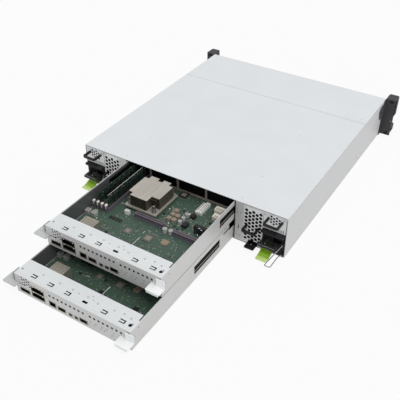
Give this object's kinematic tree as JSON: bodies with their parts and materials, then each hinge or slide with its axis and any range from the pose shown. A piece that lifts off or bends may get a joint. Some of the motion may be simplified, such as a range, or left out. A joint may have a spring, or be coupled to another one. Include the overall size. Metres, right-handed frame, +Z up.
{
  "type": "2u rack server",
  "caption": "Flat rack chassis with two pull-out server trays at the rear, flanked by fan modules and power supplies, and a row of drive carriers in front.",
  "frame": {"origin": "middle of the underside of the chassis floor", "axes": "+Z up, the drive bays face -Y and the node trays slide out towards +Y, +X to the right seen from the front"},
  "size_m": [0.4826, 0.8457, 0.087],
  "materials": {
    "silver_sheet": "fine grained zinc-coated steel, satin",
    "bare_sheet": "bare zinc-coated steel, satin",
    "case_steel": "zinc-coated steel, satin",
    "board_green": "green solder mask",
    "connector_black": "black moulded plastic",
    "board_parts": "moulded component bodies",
    "port_metal": "nickel-plated sheet",
    "fin_aluminium": "bare aluminium fins",
    "slot_plastic": "dark purple-grey plastic",
    "socket_plastic": "dark socket plastic with pale latches",
    "memory_green": "green memory board",
    "frame_sheet": "bare sheet",
    "black_plastic": "black moulded plastic",
    "handle_wire": "black coated handle",
    "green_latch": "lime green plastic",
    "grey_plastic": "mid grey plastic",
    "lever_white": "light plated steel",
    "lever_grey": "plated steel",
    "wire": "bright steel wire",
    "drive_face": "black carrier face",
    "ear_plastic": "black ear",
    "fan_plastic": "black fan blades"
  },
  "bodies": {
    "chassis": {"chassis_tray": "silver_sheet", "rear_cover": "silver_sheet", "front_cover": "silver_sheet", "bay_wall_left": "bare_sheet", "bay_wall_right": "bare_sheet", "power_bay_walls": "bare_sheet", "midplane": "board_green", "midplane_sockets": "connector_black", "drive_cage": "bare_sheet", "rack_ear_left": "ear_plastic", "rack_ear_right": "ear_plastic", "drive_carriers": "drive_face"},
    "power_button": {"power_button": "grey_plastic"},
    "drive_carrier_last": {"drive_carrier_last": "drive_face"},
    "psu_left": {"psu_left_case": "case_steel", "psu_left_front": "black_plastic", "psu_left_handle": "handle_wire"},
    "psu_left_latch": {"psu_left_latch": "green_latch"},
    "psu_left_bail": {"psu_left_bail": "wire"},
    "psu_right": {"psu_right_case": "case_steel", "psu_right_front": "black_plastic", "psu_right_handle": "handle_wire"},
    "psu_right_latch": {"psu_right_latch": "green_latch"},
    "psu_right_bail": {"psu_right_bail": "wire"},
    "fan_left": {"fan_left_case": "case_steel", "fan_left_handle": "handle_wire"},
    "fan_left_latch": {"fan_left_latch": "black_plastic"},
    "fan_left_rotor_lower": {"fan_left_rotor_lower": "fan_plastic"},
    "fan_left_rotor_upper": {"fan_left_rotor_upper": "fan_plastic"},
    "fan_right": {"fan_right_case": "case_steel", "fan_right_handle": "handle_wire"},
    "fan_right_latch": {"fan_right_latch": "black_plastic"},
    "fan_right_rotor_lower": {"fan_right_rotor_lower": "fan_plastic"},
    "fan_right_rotor_upper": {"fan_right_rotor_upper": "fan_plastic"},
    "lower_tray": {"lower_tray": "bare_sheet", "lower_top_plate": "bare_sheet", "lower_mainboard": "board_green", "lower_board_parts": "board_parts", "lower_rear_ports": "port_metal", "lower_port_cage": "port_metal", "lower_heatsink": "fin_aluminium", "lower_memory_sockets": "socket_plastic", "lower_memory_modules": "memory_green", "lower_expansion_slots": "slot_plastic", "lower_airflow_frame": "frame_sheet"},
    "lower_lever_left": {"lower_lever_left": "lever_white"},
    "lower_lever_right": {"lower_lever_right": "lever_grey"},
    "upper_tray": {"upper_tray": "bare_sheet", "upper_top_plate": "bare_sheet", "upper_mainboard": "board_green", "upper_board_parts": "board_parts", "upper_rear_ports": "port_metal", "upper_port_cage": "port_metal", "upper_heatsink": "fin_aluminium", "upper_memory_sockets": "socket_plastic", "upper_memory_modules": "memory_green", "upper_expansion_slots": "slot_plastic", "upper_airflow_frame": "frame_sheet"},
    "upper_lever_left": {"upper_lever_left": "lever_white"},
    "upper_lever_right": {"upper_lever_right": "lever_grey"}
  },
  "joints": [
    {"name": "power_button_press", "type": "slide", "parent": "chassis", "child": "power_button", "axis": [0, 1, 0], "range_m": [0, 0.0015], "stiffness_N_per_m": 300},
    {"name": "drive_carrier_slide", "type": "slide", "parent": "chassis", "child": "drive_carrier_last", "axis": [0, -1, 0], "range_m": [0, 0.125]},
    {"name": "psu_left_slide", "type": "slide", "parent": "chassis", "child": "psu_left", "axis": [0, 1, 0], "range_m": [0, 0.25]},
    {"name": "psu_left_latch_hinge", "type": "hinge", "parent": "psu_left", "child": "psu_left_latch", "pos_m": [-0.1883, 0.242, 0.0106], "axis": [1, 0, 0], "range_deg": [0, 10], "stiffness_Nm_per_rad": 0.05},
    {"name": "psu_left_bail_hinge", "type": "hinge", "parent": "psu_left", "child": "psu_left_bail", "pos_m": [-0.2139, 0.2499, 0.0196], "axis": [0, 0, 1], "range_deg": [0, 90]},
    {"name": "psu_right_slide", "type": "slide", "parent": "chassis", "child": "psu_right", "axis": [0, 1, 0], "range_m": [0, 0.25]},
    {"name": "psu_right_latch_hinge", "type": "hinge", "parent": "psu_right", "child": "psu_right_latch", "pos_m": [0.2023, 0.242, 0.0106], "axis": [1, 0, 0], "range_deg": [0, 10], "stiffness_Nm_per_rad": 0.05},
    {"name": "psu_right_bail_hinge", "type": "hinge", "parent": "psu_right", "child": "psu_right_bail", "pos_m": [0.1767, 0.2499, 0.0196], "axis": [0, 0, 1], "range_deg": [0, 90]},
    {"name": "fan_left_slide", "type": "slide", "parent": "chassis", "child": "fan_left", "axis": [0, 1, 0], "range_m": [0, 0.08]},
    {"name": "fan_left_latch_hinge", "type": "hinge", "parent": "fan_left", "child": "fan_left_latch", "pos_m": [-0.1542, 0.242, 0.0048], "axis": [1, 0, 0], "range_deg": [0, 10], "stiffness_Nm_per_rad": 0.05},
    {"name": "fan_left_rotor_lower_spin", "type": "hinge", "parent": "fan_left", "child": "fan_left_rotor_lower", "pos_m": [-0.1542, 0.226, 0.0228], "axis": [0, 1, 0], "continuous": true},
    {"name": "fan_left_rotor_upper_spin", "type": "hinge", "parent": "fan_left", "child": "fan_left_rotor_upper", "pos_m": [-0.1542, 0.226, 0.0632], "axis": [0, 1, 0], "continuous": true},
    {"name": "fan_right_slide", "type": "slide", "parent": "chassis", "child": "fan_right", "axis": [0, 1, 0], "range_m": [0, 0.08]},
    {"name": "fan_right_latch_hinge", "type": "hinge", "parent": "fan_right", "child": "fan_right_latch", "pos_m": [0.1542, 0.242, 0.0048], "axis": [1, 0, 0], "range_deg": [0, 10], "stiffness_Nm_per_rad": 0.05},
    {"name": "fan_right_rotor_lower_spin", "type": "hinge", "parent": "fan_right", "child": "fan_right_rotor_lower", "pos_m": [0.1542, 0.226, 0.0228], "axis": [0, 1, 0], "continuous": true},
    {"name": "fan_right_rotor_upper_spin", "type": "hinge", "parent": "fan_right", "child": "fan_right_rotor_upper", "pos_m": [0.1542, 0.226, 0.0632], "axis": [0, 1, 0], "continuous": true},
    {"name": "lower_tray_slide", "type": "slide", "parent": "chassis", "child": "lower_tray", "axis": [0, 1, 0], "range_m": [-0.287, 0]},
    {"name": "lower_lever_left_hinge", "type": "hinge", "parent": "lower_tray", "child": "lower_lever_left", "pos_m": [-0.1135, 0.546, 0.02255], "axis": [0, 0, 1], "range_deg": [0, 90]},
    {"name": "lower_lever_right_hinge", "type": "hinge", "parent": "lower_tray", "child": "lower_lever_right", "pos_m": [0.1135, 0.546, 0.02255], "axis": [0, 0, 1], "range_deg": [0, 90]},
    {"name": "upper_tray_slide", "type": "slide", "parent": "chassis", "child": "upper_tray", "axis": [0, 1, 0], "range_m": [-0.206, 0.08]},
    {"name": "upper_lever_left_hinge", "type": "hinge", "parent": "upper_tray", "child": "upper_lever_left", "pos_m": [-0.1135, 0.465, 0.06445], "axis": [0, 0, 1], "range_deg": [0, 90]},
    {"name": "upper_lever_right_hinge", "type": "hinge", "parent": "upper_tray", "child": "upper_lever_right", "pos_m": [0.1135, 0.465, 0.06445], "axis": [0, 0, 1], "range_deg": [0, 90]}
  ]
}
